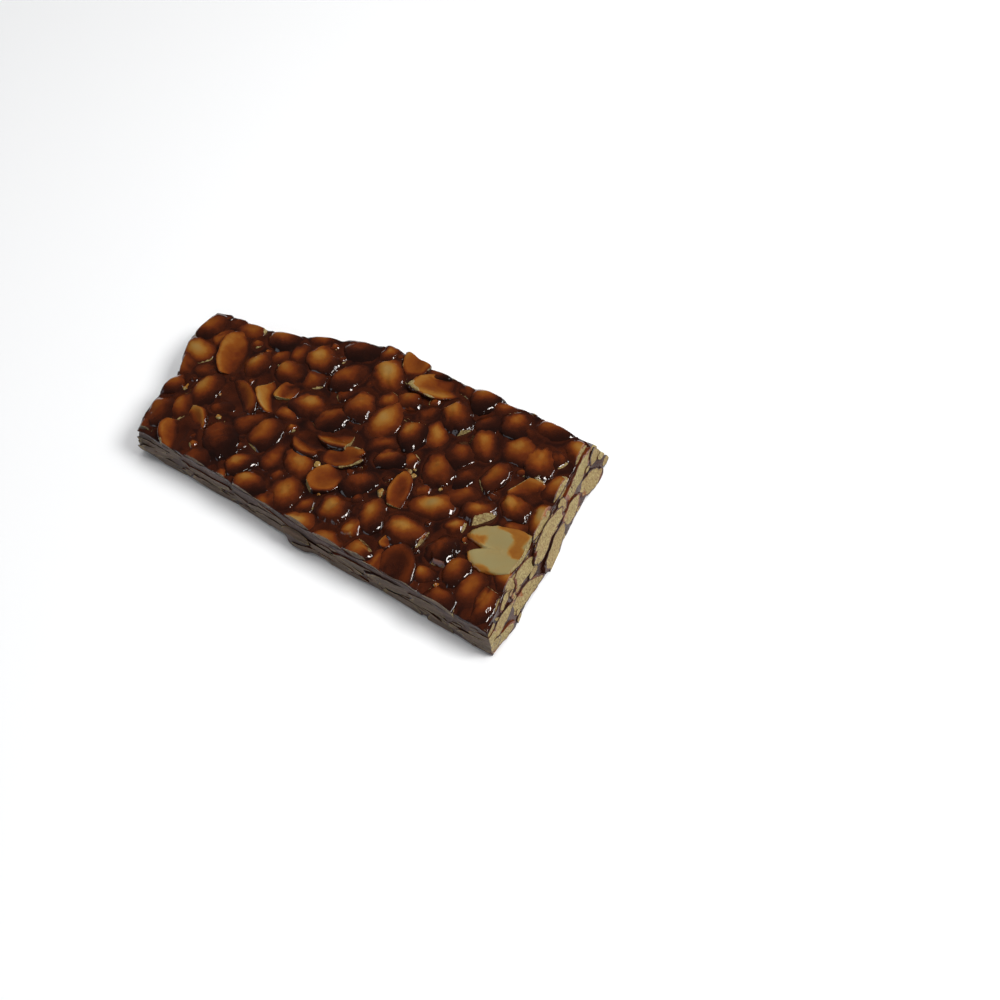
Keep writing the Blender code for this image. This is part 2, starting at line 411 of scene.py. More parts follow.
def press_back(places, edges, cut):
    """Presses what lies beyond a cut back onto it. Returns the face's vertices and its edge's."""
    normal = np.array(cut.normal)
    beyond = (places - np.array(cut.point)) @ normal
    one, other = edges[(beyond[edges[:, 0]] > 0) != (beyond[edges[:, 1]] > 0)].T
    share = beyond[one] / (beyond[one] - beyond[other])
    closest = np.argsort(-np.minimum(share, 1 - share))
    one, other, share = one[closest], other[closest], share[closest]
    met = places[one] + share[:, None] * (places[other] - places[one])
    sliding = np.where(share < 0.5, one, other)
    places[sliding] = met
    beyond[sliding] = 0
    over = beyond > 0
    if over.any() and (beyond < 0).any():
        middle = places[beyond < 0].mean(0)
        rays = places[over] - middle
        depth = (np.array(cut.point) - middle) @ normal
        places[over] = middle + rays * (depth / (rays @ normal))[:, None]
    return over, sliding


def carve(body, places):
    """Carves a nut by its cuts. Returns the number of the cut that each vertex lies on, or -1."""
    _, edges = sphere(body.detail)
    lies_on = np.full(len(places), -1)
    soft = np.zeros(len(places), bool)
    for index, cut in enumerate(body.cuts):
        over, edge = press_back(places, edges, cut)
        lies_on[over] = index
        soft[edge] = cut.rounded
    for _ in range(2):
        total = np.zeros_like(places)
        count = np.zeros((len(places), 1))
        for here, there in (edges.T, edges.T[::-1]):
            np.add.at(total, here, places[there])
            np.add.at(count, here, 1)
        places[soft] += 0.5 * (total / count - places)[soft]
    np.clip(places, BOX_LOW, BOX_HIGH, out=places)
    return lies_on


def number(body, lies_on, **values):
    """Numbers for the materials: the given ones, and those of the cuts on their fresh faces."""
    numbers = {name: np.zeros(len(lies_on)) + value for name, value in values.items()}
    for index, cut in enumerate(body.cuts):
        for name, value in cut.values.items():
            numbers[name][lies_on == index] = value
    return numbers


# %% [markdown]
# ## How thick the caramel film is
# The amber of a coated nut is caramel seen over pale nut. Where the film is thin the nut looks
# golden, where it is thick it looks red-brown, and where the nut dips into the syrup it is
# almost black. So the film is a thickness in millimetres. It is thinnest at a golden spot near
# the crown and grows towards the outline. The spot is moved towards the side away from the
# window light: a painted glow of light passing through the amber.

# %% Film on the top nuts
WET_FILM = 1.15         # film at the waterline, where nut and caramel meet
WET_EDGE = 0.75         # how far above the waterline it thins out
FILM_SLOPE = 1.05        # how much thicker it is on a nut's shoulders than at its golden spot
DEEPEST = 1.9           # film that stands for caramel with nothing below it
# The golden spot lies away from the window light, as painted glow through the amber.
PAINTED_GLOW_SIDE = Vector((-0.80, 0.60, 0.0))    # from a nut's middle towards its golden spot


def film_around_spot(local, thin, spot):
    return thin + FILM_SLOPE * ((local[:, 0] - spot[0]) ** 2 + (local[:, 1] - spot[1]) ** 2)


def wetted(film, places, edge=WET_EDGE):
    """The film, thickened towards the waterline."""
    x, y, z = places.T
    above = np.clip(z - caramel_height(x, y), 0, None)
    return film + np.clip(WET_FILM - film, 0, None) * np.exp(-(above / edge) ** 1.5)


# %% Turning a bmesh into a piece of the part
def as_piece(shape, name, material, sharp=None):
    """Moves a finished shape into the frame, attaches it to the root and hides the slab that it stands for."""
    bmesh.ops.translate(shape, verts=shape.verts, vec=-MIDDLE)
    bmesh.ops.scale(shape, verts=shape.verts, vec=(MM, MM, MM))
    mesh = bpy.data.meshes.new(name)
    shape.to_mesh(mesh)
    shape.free()
    mesh.shade_smooth()
    if sharp:
        mesh.set_sharp_from_angle(angle=math.radians(sharp))
    mesh.materials.append(material)
    piece = bpy.data.objects.new(name, mesh)
    bpy.context.scene.collection.objects.link(piece)
    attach(piece, "root")
    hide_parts(SLAB)
    mesh.calc_loop_triangles()
    print(name, len(mesh.loop_triangles), "triangles")
    return piece


VALUES = ("film", "cut", "smear", "tone")


def new_shape():
    """An empty bmesh whose vertices will carry the numbers that the materials read."""
    shape = bmesh.new()
    for name in VALUES:
        shape.verts.layers.float.new(name)
    return shape


def write_back(shape, vertices, places, numbers):
    """Puts worked-out places and numbers on vertices."""
    layers = [(shape.verts.layers.float[name], values) for name, values in numbers.items()]
    for index, vertex in enumerate(vertices):
        vertex.co = places[index]
        for layer, values in layers:
            vertex[layer] = values[index]


def add_nut(shape, body, places, numbers):
    made = bmesh.ops.create_icosphere(shape, subdivisions=body.detail, radius=1.0)["verts"]
    write_back(shape, made, places, numbers)


# %% [markdown]
# ## Shader groups
# Three effects are shared by all the materials, so each is a node group that is built once.
# The first turns film thickness into colour, as a jar of caramel goes from gold to black with
# depth. The second is the mealy grain of a cut nut. The third is the faint unevenness that
# makes highlights on set caramel ripple. Groups put out colours and heights only; the
# Principled shader stays in each material, where its constant values can be read.

# %% Helpers for node trees
def shader_group(name, inputs, outputs):
    tree = bpy.data.node_groups.new(name, "ShaderNodeTree")
    for label, kind, value in inputs:
        socket = tree.interface.new_socket(label, in_out="INPUT", socket_type=kind)
        socket.default_value = value
    for label, kind in outputs:
        tree.interface.new_socket(label, in_out="OUTPUT", socket_type=kind)
    return tree, tree.nodes.new("NodeGroupInput").outputs, tree.nodes.new("NodeGroupOutput").inputs


def add(tree, kind, **settings):
    """A node; settings name its properties, or its sockets with _ for a space."""
    node = tree.nodes.new("ShaderNode" + kind)
    for name, value in settings.items():
        socket = name.replace("_", " ")
        if socket in node.inputs:
            node.inputs[socket].default_value = value
        else:
            setattr(node, name, value)
    return node


def calculate(tree, operation, first, second):
    node = add(tree, "Math", operation=operation)
    for socket, value in zip(node.inputs, (first, second)):
        if isinstance(value, (int, float)):
            socket.default_value = value
        else:
            tree.links.new(value, socket)
    return node.outputs[0]


def blend_colours(tree, share, first, second):
    node = add(tree, "Mix", data_type="RGBA")
    for socket, value in zip((node.inputs[0], node.inputs[6], node.inputs[7]), (share, first, second)):
        if isinstance(value, (int, float, tuple)):
            socket.default_value = value
        else:
            tree.links.new(value, socket)
    return node.outputs[2]


def ripple(tree, size, detail=2.0, rough=0.5, stretch=(1, 1, 1)):
    """Noise on Object coordinates whose features are about `size` millimetres."""
    place = add(tree, "TexCoord")
    mapping = add(tree, "Mapping", Scale=stretch)
    tree.links.new(place.outputs["Object"], mapping.inputs["Vector"])
    texture = add(tree, "TexNoise", Scale=1 / (size * MM), Detail=detail, Roughness=rough)
    tree.links.new(mapping.outputs["Vector"], texture.inputs["Vector"])
    return texture.outputs["Fac"]


def from_bytes(red, green, blue):
    """An sRGB colour as the linear values that a shader needs."""
    channels = (value / 255 for value in (red, green, blue))
    return (*(c / 12.92 if c <= 0.04045 else ((c + 0.055) / 1.055) ** 2.4 for c in channels), 1.0)


def fill_ramp(ramp, stops):
    """Colour stops on a ramp node's colour band."""
    elements = ramp.color_ramp.elements
    while len(elements) < len(stops):
        elements.new(0.5)
    for element, (place, colour) in zip(elements, stops):
        element.position = place
        element.color = colour


# %% Group 1: caramel film over nut
FILM_RANGE = 2.0
FILM_COLOURS = ((0.0, (135, 128, 90)), (0.10, (144, 115, 64)), (0.24, (142, 95, 38)),
                (0.42, (121, 64, 19)), (0.68, (92, 39, 13)), (1.0, (60, 24, 10)),
                (1.4, (39, 15, 8)), (2.0, (27, 11, 7)))


def caramel_film_group():
    tree, given, put = shader_group(
        "caramel film", [("Film", "NodeSocketFloat", 1.0), ("Patchiness", "NodeSocketFloat", 0.3),
                         ("Tone", "NodeSocketFloat", 0.5)],
        [("Color", "NodeSocketColor")])
    patches = calculate(tree, "SUBTRACT", ripple(tree, 4.5, 5.0, 0.6), 0.5)
    swing = calculate(tree, "MULTIPLY", calculate(tree, "MULTIPLY", patches, given["Patchiness"]), 4.0)
    film = calculate(tree, "MULTIPLY", given["Film"], calculate(tree, "ADD", swing, 1.0))
    toned = calculate(tree, "MULTIPLY", film, calculate(tree, "ADD", given["Tone"], 0.5))
    ramp = add(tree, "ValToRGB")
    fill_ramp(ramp, [(mm / FILM_RANGE, from_bytes(*colour)) for mm, colour in FILM_COLOURS])
    tree.links.new(calculate(tree, "DIVIDE", toned, FILM_RANGE), ramp.inputs["Fac"])
    tree.links.new(ramp.outputs["Color"], put["Color"])
    return tree


# %% Group 2: the grain of a cut nut
def nut_grain_group():
    tree, given, put = shader_group(
        "nut grain", [("Tone", "NodeSocketFloat", 0.5)],
        [("Color", "NodeSocketColor"), ("Height", "NodeSocketFloat")])
    grain = ripple(tree, 0.45, 4.0, 0.65)
    blush = ripple(tree, 2.5, 2.0, 0.5)
    cream = add(tree, "ValToRGB")
    fill_ramp(cream, [(0.35, from_bytes(80, 62, 32)), (0.44, from_bytes(126, 112, 66)),
                      (0.54, from_bytes(152, 141, 88)), (0.66, from_bytes(186, 176, 124))])
    tree.links.new(grain, cream.inputs["Fac"])
    share = calculate(tree, "MULTIPLY", calculate(tree, "ADD", blush, given["Tone"]), 0.35)
    tan = blend_colours(tree, share, cream.outputs["Color"], from_bytes(142, 106, 62))
    tree.links.new(tan, put["Color"])
    tree.links.new(grain, put["Height"])
    return tree


# %% Group 3: unevenness of set caramel
def set_caramel_group():
    tree, given, put = shader_group("set caramel", [("Pits", "NodeSocketFloat", 0.3)],
                                    [("Height", "NodeSocketFloat")])
    ripples = ripple(tree, 1.6, 2.0, 0.5)
    pits = calculate(tree, "MULTIPLY", ripple(tree, 0.35, 2.0, 0.6), given["Pits"])
    tree.links.new(calculate(tree, "ADD", ripples, pits), put["Height"])
    return tree


caramel_film = caramel_film_group()
nut_grain = nut_grain_group()
set_caramel = set_caramel_group()
print("shader groups:", caramel_film.name, nut_grain.name, set_caramel.name)

# %% [markdown]
# ## The two materials
# Caramel and glazed nut share one recipe. Where the `cut` number is 0 the surface is film, so
# it is smooth, glossy and coloured by thickness. Where it is 1 it is bare cut nut: pale, mealy
# and dull. `smear` greys and darkens the long side: partly crumbs that the knife dragged
# through warm caramel, partly painted shade, because that side faces away from the window light.

# %% Finishes
# Grey-brown of the long side: smeared crumbs, darkened with painted shade because that side faces away from the
# light.
SMEAR_AND_SHADE_COLOUR = from_bytes(96, 72, 62)
SMEAR_AND_SHADE_DARK = from_bytes(50, 34, 30)


def glazed(name, patchiness, pits, film_roughness, ripple_depth):
    material = bpy.data.materials.new(name)
    material.use_nodes = True
    tree = material.node_tree
    shader = tree.nodes["Principled BSDF"]
    value = {label: add(tree, "Attribute", attribute_name=label).outputs["Fac"] for label in VALUES}

    film = add(tree, "Group", node_tree=caramel_film, Patchiness=patchiness)
    grain = add(tree, "Group", node_tree=nut_grain)
    surface = add(tree, "Group", node_tree=set_caramel, Pits=pits)
    tree.links.new(value["film"], film.inputs["Film"])
    tree.links.new(value["tone"], film.inputs["Tone"])
    tree.links.new(value["tone"], grain.inputs["Tone"])

    bare = add(tree, "MapRange", From_Min=0.74, From_Max=0.84)
    tree.links.new(calculate(tree, "ADD", value["cut"], ripple(tree, 4.5, 3.0, 0.5)), bare.inputs["Value"])
    bare = bare.outputs["Result"]
    colour = blend_colours(tree, bare, film.outputs["Color"], grain.outputs["Color"])
    streaks = add(tree, "MapRange", From_Min=0.35, From_Max=0.65)
    tree.links.new(ripple(tree, 1.2, 4.0, 0.6, (0.22, 1.0, 1.3)), streaks.inputs["Value"])
    # Streaked grey-brown on the long side: smeared crumbs with painted shade.
    smeared = blend_colours(tree, streaks.outputs["Result"], SMEAR_AND_SHADE_DARK, SMEAR_AND_SHADE_COLOUR)
    colour = blend_colours(tree, calculate(tree, "MULTIPLY", value["smear"], 0.88), colour, smeared)
    tree.links.new(colour, shader.inputs["Base Color"])

    dull = calculate(tree, "MAXIMUM", bare, value["smear"])
    rough = add(tree, "MapRange", To_Min=film_roughness, To_Max=0.6)
    tree.links.new(dull, rough.inputs["Value"])
    tree.links.new(rough.outputs["Result"], shader.inputs["Roughness"])

    fine = calculate(tree, "MULTIPLY", surface.outputs["Height"], ripple_depth)
    mealy = calculate(tree, "MULTIPLY", calculate(tree, "MULTIPLY", grain.outputs["Height"], dull), 0.35)
    bump = add(tree, "Bump", Strength=1.0, Distance=0.001)
    tree.links.new(calculate(tree, "ADD", fine, mealy), bump.inputs["Height"])
    tree.links.new(bump.outputs["Normal"], shader.inputs["Normal"])
    return material


caramel_finish = glazed("caramel", patchiness=0.25, pits=0.08, film_roughness=0.05, ripple_depth=0.04)
nut_finish = glazed("glazed_nut", patchiness=0.3, pits=0.12, film_roughness=0.07, ripple_depth=0.07)
print("materials:", caramel_finish.name, nut_finish.name)

# %% [markdown]
# ## The caramel core
# The core is one fine grid bent into the outline. Its rim is then extruded down the sides ring
# by ring, just inside the cut nuts, and the underside is filled. Extruding keeps the vertices in
# order, so the whole block is one closed shell whose faces are small enough for the curved
# edges of the syrup to catch light.

# %% Core
CORE_CELLS = (336, 164)
CORE_RINGS = 15
CORE_INSET = 0.5         # how far the caramel stays behind the cut nuts
SMEARED_INSET = 0.2      # the same on the long side, where the knife pressed crumbs into it
CORE_FOOT = 0.12         # how far it stays above the ground, which the nuts below rest on


def outward(u, v):
    return Vector(((u == 1) - (u == 0), (v == 1) - (v == 0)))


def core_side_point(u, v, rim_height, share):
    point = side_point(u, v, rim_height, share)
    inset = outward(u, v) * (SMEARED_INSET if v == 0 < u < 1 else CORE_INSET)
    pit = 0.2 * (1 - share) * noise.noise(point / 1.1)
    point.xy -= inset * (1 + pit)
    point.z = max(point.z, CORE_FOOT)
    return point


def make_core():
    shape = new_shape()
    cells_u, cells_v = CORE_CELLS
    bmesh.ops.create_grid(shape, x_segments=cells_u, y_segments=cells_v, size=1.0)
    shape.verts.ensure_lookup_table()
    vertices = list(shape.verts)
    columns = [round(0.5 * (vertex.co.x + 1) * cells_u) for vertex in vertices]
    rows = [round(0.5 * (vertex.co.y + 1) * cells_v) for vertex in vertices]
    u = np.array(columns) / cells_u
    v = np.array(rows) / cells_v
    along = {"front": FRONT, "back": BACK}
    across = {"left": LEFT, "right": RIGHT}
    p = {k: np.array([at(side, i / cells_u) for i in range(cells_u + 1)])[columns]
         for k, side in along.items()}
    p |= {k: np.array([at(side, j / cells_v) for j in range(cells_v + 1)])[rows]
          for k, side in across.items()}
    u_, v_ = u[:, None], v[:, None]
    flat = (1 - v_) * p["front"] + v_ * p["back"] + (1 - u_) * p["left"] + u_ * p["right"]
    flat -= (1 - v_) * ((1 - u_) * np.array(FRONT[0]) + u_ * np.array(FRONT[-1]))
    flat -= v_ * ((1 - u_) * np.array(BACK[0]) + u_ * np.array(BACK[-1]))
    height = caramel_height(*flat.T)
    places = np.column_stack((flat, height))
    film = np.clip(WET_FILM + 0.8 * (height - nut_height(*flat.T)), WET_FILM, DEEPEST)
    write_back(shape, vertices, places, {"film": film, "cut": 0 * film, "smear": 0 * film, "tone": 0 * film + 0.5})

    layer_u = shape.verts.layers.float.new("u")
    layer_v = shape.verts.layers.float.new("v")
    layer_rim = shape.verts.layers.float.new("rim")
    film_layer = shape.verts.layers.float["film"]
    smear_layer = shape.verts.layers.float["smear"]
    shape.verts.ensure_lookup_table()
    for index, vertex in enumerate(shape.verts):
        if vertex.is_boundary:
            vertex[layer_u] = u[index]
            vertex[layer_v] = v[index]
            vertex[layer_rim] = min(vertex.co.z, SYRUP_LEVEL + 0.6) - 0.15
            vertex.co = core_side_point(vertex[layer_u], vertex[layer_v], vertex[layer_rim], 1.0)
    ring = [edge for edge in shape.edges if edge.is_boundary]
    for step in range(1, CORE_RINGS + 1):
        share = 1 - step / CORE_RINGS
        made = bmesh.ops.extrude_edge_only(shape, edges=ring)["geom"]
        for vertex in (item for item in made if isinstance(item, bmesh.types.BMVert)):
            vertex.co = core_side_point(vertex[layer_u], vertex[layer_v], vertex[layer_rim], share)
            vertex[film_layer] = 1.25
            # Core sides: full smear and painted shade on the long side, a quarter of it on the cut end.
            vertex[smear_layer] = 1.0 if vertex[layer_v] == 0 else 0.25 if vertex[layer_u] == 1 else 0.0
        ring = [item for item in made if isinstance(item, bmesh.types.BMEdge) and item.is_boundary]
    bmesh.ops.holes_fill(shape, edges=ring, sides=0)
    bmesh.ops.recalc_face_normals(shape, faces=shape.faces)
    if shape.calc_volume(signed=True) < 0:
        bmesh.ops.reverse_faces(shape, faces=shape.faces)
    return as_piece(shape, "caramel_core", caramel_finish)


caramel_core = make_core()

# %% [markdown]
# ## The four walls
# Nuts that reach a side are sliced by it. Each side is sampled at several heights as a point
# and an outward normal, so any nut can find the slicing plane nearest to it. On the snapped
# sides the plane stands further out, because a break runs round the nuts and not through them.

# %% Samples of the sides
# Where each side lies on the patch, how far its nuts stand proud, and what its faces look like.
SIDES = {
    # The front's cut faces get smear with painted shade, as that side faces away from the light.
    "front": (lambda s: (s, 0), (0.0, 0.15), {"cut": 1.0, "smear": 1.0}),
    "right": (lambda s: (1, s), (-0.1, 0.2), {"cut": 0.46, "film": 0.5}),
    "back": (lambda s: (s, 1), (0.2, 0.7), {"film": 0.5}),
    "left": (lambda s: (0, s), (0.2, 0.7), {"film": 0.5}),
}
BROKEN = ("back", "left")
SAMPLES = 160
SAMPLE_SHARES = (0.0, 0.2, 0.4, 0.6, 0.8, 1.0)
MIDDLE_OF_SLAB = Vector((50, 29, 0))


def sample_side(name):
    """Points, outward normals and distances along one side, row by row from the ground up."""
    uv = SIDES[name][0]
    points, normals, along = [], [], []
    for share in SAMPLE_SHARES:
        line = [side_point(*uv(i / SAMPLES), SYRUP_LEVEL, share) for i in range(SAMPLES + 1)]
        step = 0.05 if share < 1 else -0.05
        walked = 0.0
        for i in range(SAMPLES + 1):
            tangent = line[min(SAMPLES, i + 3)] - line[max(0, i - 3)]
            up = side_point(*uv(i / SAMPLES), SYRUP_LEVEL, share + step) - line[i]
            normal = tangent.cross(up).normalized()
            if normal.dot(line[i] - MIDDLE_OF_SLAB) < 0:
                normal.negate()
            walked += (line[i] - line[i - 1]).length if i else 0.0
            points.append(line[i])
            normals.append(normal)
            along.append(walked)
    return np.array(points), np.array(normals), np.array(along)


sides = {name: sample_side(name) for name in SIDES}
for name, (points, normals, along) in sides.items():
    print(name, "side is", round(float(along[SAMPLES]), 1), "mm long")


FOOT_LOW = 0.03          # the height at which the ground slices a nut, and how much it varies:
FOOT_SPREAD = 0.08       # nuts that overlap must not share one plane


def trim(body, chance, ground_film=0.6):
    """Adds the cuts that the sides and the ground make through a nut."""
    reach = 1.1 * max(body.half)
    for name, (points, normals, _) in sides.items():
        offsets = points - np.array(body.middle)
        nearest = int((offsets ** 2).sum(1).argmin())
        normal = Vector(normals[nearest])
        if Vector(offsets[nearest]).dot(normal) < reach:
            _, proud, values = SIDES[name]
            point = Vector(points[nearest]) + normal * (body.proud + chance.uniform(*proud))
            body.cuts.append(Cut(point, normal, values, rounded=name in BROKEN))
    if body.middle.z < reach:
        below = Vector((body.middle.x, body.middle.y, FOOT_LOW + FOOT_SPREAD * (body.seed % 1)))
        body.cuts.append(Cut(below, Vector((0, 0, -1)), {"film": ground_film}))


# %% [markdown]
# ## Nuts of the top
# Each nut laid earlier now gets its body. Domed nuts are widest below the syrup, so only their
# backs show. Split nuts lie open: their flat face is hollowed along its middle as a real split
# peanut is, with a notch where the germ sat. Small bits are broken by several faces. Wherever
# a nut reaches a side it is cut there, which is what makes pale nuts show along the knife cuts.

# %% Bodies of the top nuts
def lying(turn, tilt=0.0, roll=0.0):
    return Matrix.Rotation(turn, 3, "Z") @ Matrix.Rotation(tilt, 3, "Y") @ Matrix.Rotation(roll, 3, "X")


def either_way(turn, chance):
    """The same lie, with the pointed end towards one side or the other."""
    return turn + math.pi * (chance.random() < 0.5)


def add_break(body, chance, shares, upward, values):
    """A break across one end of a nut. The shares say how far out it lies."""
    local = Vector((chance.choice((-1, 1)), chance.uniform(-0.6, 0.6), chance.uniform(*upward))).normalized()
    support = Vector(a * b for a, b in zip(body.half, local)).length
    normal = body.axes @ local
    point = body.middle + chance.uniform(*shares) * support * normal
    body.cuts.append(Cut(point, normal, values, rounded=True))


def open_split(nut, level, chance):
    half = Vector((OVERLAP * nut.length / 2, OVERLAP * nut.width / 2, 0.4 * nut.width))
    pale = nut is top_nuts[0]
    turn = nut.turn if pale else either_way(nut.turn, chance)
    tilt, roll = (0.1, 0.15) if pale else (0.2, 0.4)
    axes = lying(turn, chance.uniform(-tilt, tilt), chance.uniform(-roll, roll))
    height = level + 0.9 * nut.crown - 0.3 * half.z
    notch = 0.45 if pale else chance.choice((0.0, 0.15, 0.25))
    return Body(Vector((nut.x, nut.y, height)), axes, half, open_at=0.35, taper=0.35, notch=notch)


def domed(nut, level, chance):
    axes = lying(either_way(nut.turn, chance), chance.uniform(-0.12, 0.12), chance.uniform(-0.2, 0.2))
    half = Vector((nut.swell() * nut.length / 2, nut.swell() * nut.width / 2, nut.crown + NUT_SINK))
    body = Body(Vector((nut.x, nut.y, level - NUT_SINK)), axes, half, bend=chance.uniform(-0.12, 0.12),
                lumpiness=0.1, fine_lumps=0.4)
    below = axes @ Vector((0, 0, -1))
    body.cuts.append(Cut(body.middle + 0.5 * below, below, {}))
    return body


def pooled(local):
    """Where caramel stayed on the one bare split nut: 1 in the patches, with soft shores."""
    patches = np.array([noise.noise(Vector((a, b, 0)) * 1.7) for a, b, _ in local])
    return np.clip(0.5 + 9 * (patches + 0.5 * np.abs(local[:, 0] + 0.1) - 0.4), 0, 1)


def make_top_nuts():
    chance = random.Random(11)
    shapes = {"domed_nuts": new_shape(), "split_nuts": new_shape(), "nut_bits": new_shape()}
    for index, nut in enumerate(top_nuts):
        level = SYRUP_LEVEL + float(wave([nut.x], [nut.y])[0])
        small = nut.width < 5
        body = (open_split if nut.lies == "flat" else domed)(nut, level, chance)
        body.detail = 3 if small else 5 if index < len(BOLD_NUTS) else 4
        body.seed = chance.uniform(0, 100)
        thin = chance.triangular(0.07, 0.6, 0.14)
        bare = {"film": 0.6 * thin + 0.1, "cut": chance.choice((0.1, 0.25, 0.4, 0.55))}
        if small:
            for _ in range(3):
                add_break(body, chance, (0.4, 0.7), (-0.3, 0.9), bare)
        elif nut.lies == "dome":
            for _ in range(chance.choice((0, 1, 1, 2))):
                add_break(body, chance, (0.6, 0.85), (0.1, 0.9), bare)
        elif index:
            for _ in range(chance.choice((0, 1, 1))):
                add_break(body, chance, (0.4, 0.8), (-0.1, 0.3), bare)
        body.proud = -0.4
        trim(body, chance)

        places, local, opened = grow(body)
        places[:, 2] -= max(0.0, places[:, 2].max() - TOP_HEIGHT + 0.02)
        lies_on = carve(body, places)
        # Painted glow: the thin golden spot is moved away from the window light.
        spot = body.axes.inverted() @ (PAINTED_GLOW_SIDE * chance.uniform(0.15, 0.5))
        film = film_around_spot(local, thin, spot)
        cut = 0.0
        if nut.lies == "flat":
            rim = np.clip((local[:, :2] ** 2).sum(1), 0, 1)
            film += opened * (0.5 * thin + chance.uniform(0.35, 0.75) * (1 - rim) - film)
            cut = opened * chance.choice((0.0, 0.2, 0.4)) * np.clip(3 * rim - 2, 0, 1)
            if index == 0:
                film = 0.04 + 0.34 * pooled(local)
                cut = 0.0
        numbers = number(body, lies_on, film=film, cut=cut, smear=0, tone=chance.uniform(0.3, 0.75))
        numbers["film"] = wetted(numbers["film"], places, 0.35 if nut.lies == "flat" else WET_EDGE)
        name = "nut_bits" if small else "split_nuts" if nut.lies == "flat" else "domed_nuts"
        add_nut(shapes[name], body, places, numbers)
    return [as_piece(shape, name, nut_finish, 50) for name, shape in shapes.items()]


top_pieces = make_top_nuts()

# %% [markdown]
# ## Crumbs
# Pale crumbs of broken nut lie in the caramel between the nuts. Each is dropped from above: rays
# find the surfaces under it, and it stays only where caramel is the highest.

# %% Crumbs on the top
CRUMBS = 70


def skin(piece):
    mesh = piece.data
    return BVHTree.FromPolygons([v.co[:] for v in mesh.vertices], [p.vertices[:] for p in mesh.polygons])


def make_crumbs():
    chance = random.Random(17)
    skins = [skin(piece) for piece in (caramel_core, *top_pieces)]
    shape = new_shape()
    for _ in range(CRUMBS):
        x, y = inside(chance.uniform(0.02, 0.98), chance.uniform(0.04, 0.96))
        above = (Vector((x, y, 20)) - MIDDLE) * MM
        hits = [found[0].z / MM if found[0] else 0.0
                for found in (tree.ray_cast(above, Vector((0, 0, -1))) for tree in skins)]
        if hits[0] < max(hits):
            continue
        size = chance.triangular(0.5, 2.0, 0.9)
        half = Vector((size, size * chance.uniform(0.4, 0.8), size * chance.uniform(0.3, 0.5)))
        height = max(hits)
        body = Body(Vector((x, y, height)), lying(chance.uniform(0, 6), chance.uniform(-0.4, 0.4)), half,
                    detail=3, lumpiness=0.3, seed=chance.uniform(0, 100))
        values = {"cut": chance.choice((0.1, 0.5, 1.0)), "film": 0.1}
        for _ in range(4):
            add_break(body, chance, (0.4, 0.75), (-0.2, 0.9), values)
        places, local, opened = grow(body)
        lies_on = carve(body, places)
        add_nut(shape, body, places, number(body, lies_on, film=chance.uniform(0.1, 0.5), cut=0.2, smear=0,
                                            tone=0.4))
    return as_piece(shape, "crumbs", nut_finish, 30)


crumbs = make_crumbs()

# %% [markdown]
# ## Nuts along the sides
# A side shows two to three layers of sliced nuts, lying flat as the rolling pin pressed them.
# They are laid as the top was, but on the side itself: along it, and up from the ground. Except
# on the cut end, nothing else is laid where a top nut is already sliced by the side.

# %% Side nuts
# The largest sections of the cut end: distance from the front corner, height, length,
# thickness and slope in degrees.
END_SECTIONS = (
    (50.3, 6.2, 16, 4.0, 6), (53.2, 2.1, 11.5, 4.4, -4), (42.8, 2.5, 9.5, 4.0, 4), (31, 6.3, 16, 3.9, 3),
    (32.3, 2.2, 15.5, 4.2, 6), (20.3, 6.6, 11, 3.4, -10), (16.2, 2.5, 15, 3.5, -9), (6.0, 5.4, 12, 2.8, 4),
    (5.0, 2.2, 9, 2.8, -3), (40.3, 6.4, 5, 2.8, -12),
)
# Length and thickness of the other nuts, the largest first.
CUT_FILLING = ((14, 2.8), (11, 2.4), (8, 2.0), (5, 1.5), (2.5, 1.1))
BROKEN_FILLING = ((13, 5.5), (10, 4.6), (7, 3.6), (4.5, 2.6), (2.5, 1.6))
SIDE_DEPTH = 3.0


def lay_side_nuts(name, chance):
    points, normals, along = sides[name]
    length = float(along[SAMPLES])
    laid = []
    for nut in top_nuts * (name != "right"):
        rim = points[-SAMPLES - 1:]
        crossed = nut.spread(rim[:, 0], rim[:, 1]) < 1
        if crossed.any():
            reached = along[-SAMPLES - 1:][crossed]
            chord = max(2.0, float(reached.max() - reached.min()))
            laid.append(Nut("top", float(reached.mean()), SYRUP_LEVEL - 0.2, chord, 2.2, 0.0, 0))
    ready = len(laid)
    if name == "right":
        for place, height, long, thick, slope in END_SECTIONS:
            laid.append(Nut("side", place, height, long, thick, math.radians(slope), 0))
    filling = BROKEN_FILLING if name in BROKEN else CUT_FILLING[3:] if name == "right" else CUT_FILLING
    for long, thick in filling:
        for _ in range(900):
            tall = thick * chance.uniform(0.75, 1.15)
            place = chance.uniform(0.5, length - 0.5)
            height = chance.uniform(0.45 * tall, SYRUP_LEVEL - 0.35 * tall)
            nut = Nut("side", place, height, long * chance.uniform(0.85, 1.15), tall, chance.gauss(0, 0.12), 0)
            if not any(nut.touches(other, 1.02) for other in laid):
                laid.append(nut)
    return laid[ready:]


